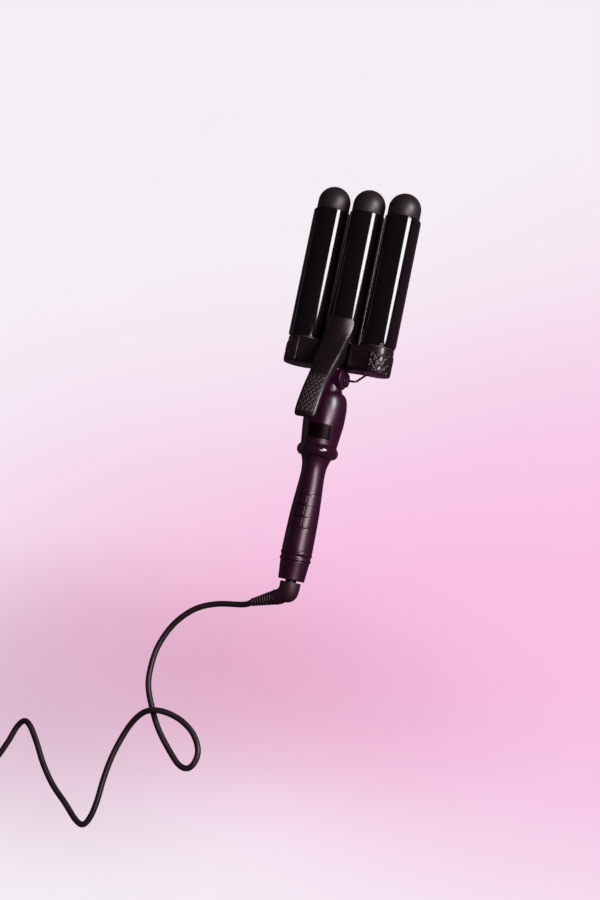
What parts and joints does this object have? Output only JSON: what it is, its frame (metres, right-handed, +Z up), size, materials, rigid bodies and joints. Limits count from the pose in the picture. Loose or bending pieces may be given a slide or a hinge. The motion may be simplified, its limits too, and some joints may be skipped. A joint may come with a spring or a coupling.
{
  "type": "hair waver",
  "caption": "Three-barrel hair waver with a sprung clamping middle barrel, thumb lever, fold-out wire stand and swivel cord with plug, lying on its stand.",
  "frame": {"origin": "centre of the bottom of the bounding box of the waver itself, without its loose cord, on the table it lies on", "axes": "+Z up from the table, +Y from the cord end towards the barrel tips, +X across the barrels"},
  "size_m": [0.4062, 0.6682, 0.0846],
  "materials": {
    "dark_shell": "satin plum-black moulded shell with a fine texture",
    "gloss_trim": "polished near-black plastic",
    "window": "smoked glossy window",
    "display": "dark liquid-crystal panel",
    "board": "circuit board with solder mask",
    "switch_metal": "pressed steel switch cans",
    "components": "moulded component bodies",
    "loom": "sleeved wires",
    "screws": "zinc-plated steel",
    "bright_steel": "polished steel",
    "bar_plastic": "heat-proof matt black plastic",
    "quilt_cups": "satin plastic with a quilted diamond relief",
    "bushes": "turned brass",
    "core_metal": "extruded aluminium",
    "sleeve_gloss": "black glazed ceramic coating with a mirror-like gloss",
    "tips": "satin heat-proof plastic",
    "ceramic": "white alumina heater",
    "fuse_metal": "thermal fuse case",
    "pad_grip": "cross-hatched soft pad",
    "pressed_steel": "pressed steel bracket",
    "spring_steel": "spring wire",
    "dark_wire": "black-coated steel wire",
    "rubber_foot": "soft rubber tube",
    "stem_metal": "turned brass stem",
    "socket": "slip-ring socket",
    "cord_boot": "moulded flexible boot",
    "cord": "smooth matt cord jacket",
    "tie": "woven tie strap",
    "plug": "moulded plug body",
    "plug_metal": "nickel-bright plug pins"
  },
  "bodies": {
    "handle": {"bulb_front": "dark_shell", "bulb_back": "dark_shell", "waist_ring": "gloss_trim", "grip_front": "dark_shell", "grip_back": "dark_shell", "groove_ring": "gloss_trim", "end_cap": "dark_shell", "display_window": "window", "lcd_panel": "display", "control_board": "board", "tact_switches": "switch_metal", "board_parts": "components", "power_board": "board", "wire_loom": "loom", "case_screws": "screws", "neck_stem": "dark_shell", "stand_washers": "bright_steel", "crossbar_body": "bar_plastic", "crossbar_cover": "bar_plastic", "cover_screws_set": "screws", "cup_left": "quilt_cups", "cup_right": "quilt_cups", "hinge_bushes": "bushes", "side_collars": "bar_plastic", "core_left": "core_metal", "core_right": "core_metal", "sleeve_left": "sleeve_gloss", "sleeve_right": "sleeve_gloss", "dome_left": "tips", "dome_right": "tips", "heater_left": "ceramic", "heater_right": "ceramic", "thermal_fuses": "fuse_metal", "swivel_socket": "socket", "cord_tube": "cord", "cord_coil": "cord", "coil_tie": "tie", "plug_relief": "cord_boot", "plug_body": "plug", "plug_pins": "plug_metal"},
    "clamp": {"lever_shell": "dark_shell", "thumb_pad": "pad_grip", "lever_liner": "bar_plastic", "lever_bracket": "pressed_steel", "hinge_pin": "bright_steel", "middle_holder": "bar_plastic", "holder_pins": "screws", "core_middle": "core_metal", "sleeve_middle": "sleeve_gloss", "dome_middle": "tips", "heater_middle": "ceramic", "clamp_spring": "spring_steel"},
    "stand": {"wire_stand": "dark_wire", "stand_foot": "rubber_foot"},
    "swivel": {"swivel_stem": "stem_metal", "cord_elbow": "cord_boot", "strain_relief": "cord_boot"},
    "power_key": {"button_power": "gloss_trim"},
    "up_key": {"button_up": "gloss_trim"},
    "down_key": {"button_down": "gloss_trim"}
  },
  "joints": [
    {"name": "clamp_hinge", "type": "hinge", "parent": "handle", "child": "clamp", "pos_m": [0, 0.03714, 0.06068], "axis": [1, 0, 0], "range_deg": [0, 18], "stiffness_Nm_per_rad": 1, "springref_deg": -17.19},
    {"name": "stand_hinge", "type": "hinge", "parent": "handle", "child": "stand", "pos_m": [0, 0.02003, 0.03944], "axis": [-1, 0, 0], "range_deg": [0, 88]},
    {"name": "cord_swivel", "type": "hinge", "parent": "handle", "child": "swivel", "pos_m": [0, -0.16753, 0.01192], "axis": [0, 0.9852, 0.1712], "continuous": true},
    {"name": "power_button", "type": "slide", "parent": "handle", "child": "power_key", "axis": [0, 0.1712, -0.9852], "range_m": [0, 0.0006], "stiffness_N_per_m": 600, "springref_m": -0.0008},
    {"name": "up_button", "type": "slide", "parent": "handle", "child": "up_key", "axis": [0, 0.1712, -0.9852], "range_m": [0, 0.0006], "stiffness_N_per_m": 600, "springref_m": -0.0008},
    {"name": "down_button", "type": "slide", "parent": "handle", "child": "down_key", "axis": [0, 0.1712, -0.9852], "range_m": [0, 0.0006], "stiffness_N_per_m": 600, "springref_m": -0.0008}
  ]
}
